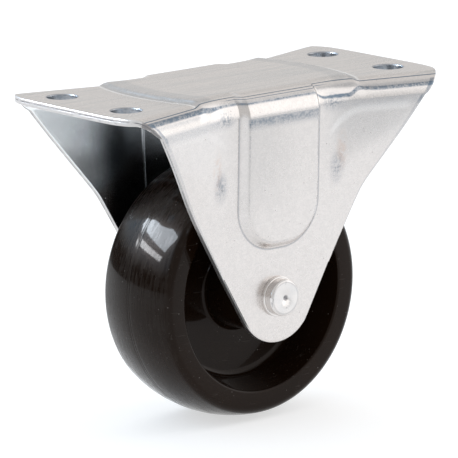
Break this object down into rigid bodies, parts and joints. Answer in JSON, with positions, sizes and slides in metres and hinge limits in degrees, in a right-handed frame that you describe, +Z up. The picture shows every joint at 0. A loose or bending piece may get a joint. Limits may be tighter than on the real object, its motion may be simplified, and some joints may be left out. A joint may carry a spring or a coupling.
{
  "type": "fixed castor",
  "caption": "Fixed plate castor: a pressed sheet housing with V-shaped legs holds a one-piece wheel on a riveted axle.",
  "frame": {"origin": "middle of the plate's hole pattern, on the top face of the plate's ends", "axes": "+X is the rolling direction and the plate's length, +Y is along the axle, +Z is up out of the plate"},
  "size_m": [0.117, 0.0612, 0.0975],
  "materials": {
    "zinc_sheet": "bright zinc plated, satin",
    "black_plastic": "glossy black, lightly scuffed",
    "zinc_rivet": "bright zinc plated",
    "steel_tube": "drawn steel"
  },
  "bodies": {
    "bracket": {"housing": "zinc_sheet", "axle_rivet": "zinc_rivet", "axle_sleeve": "steel_tube", "rivet_washer_near": "zinc_rivet", "rivet_washer_far": "zinc_rivet"},
    "wheel": {"wheel": "black_plastic"}
  },
  "joints": [
    {"name": "wheel_spin", "type": "hinge", "parent": "bracket", "child": "wheel", "pos_m": [0, 0, -0.059], "axis": [0, 1, 0], "continuous": true}
  ]
}
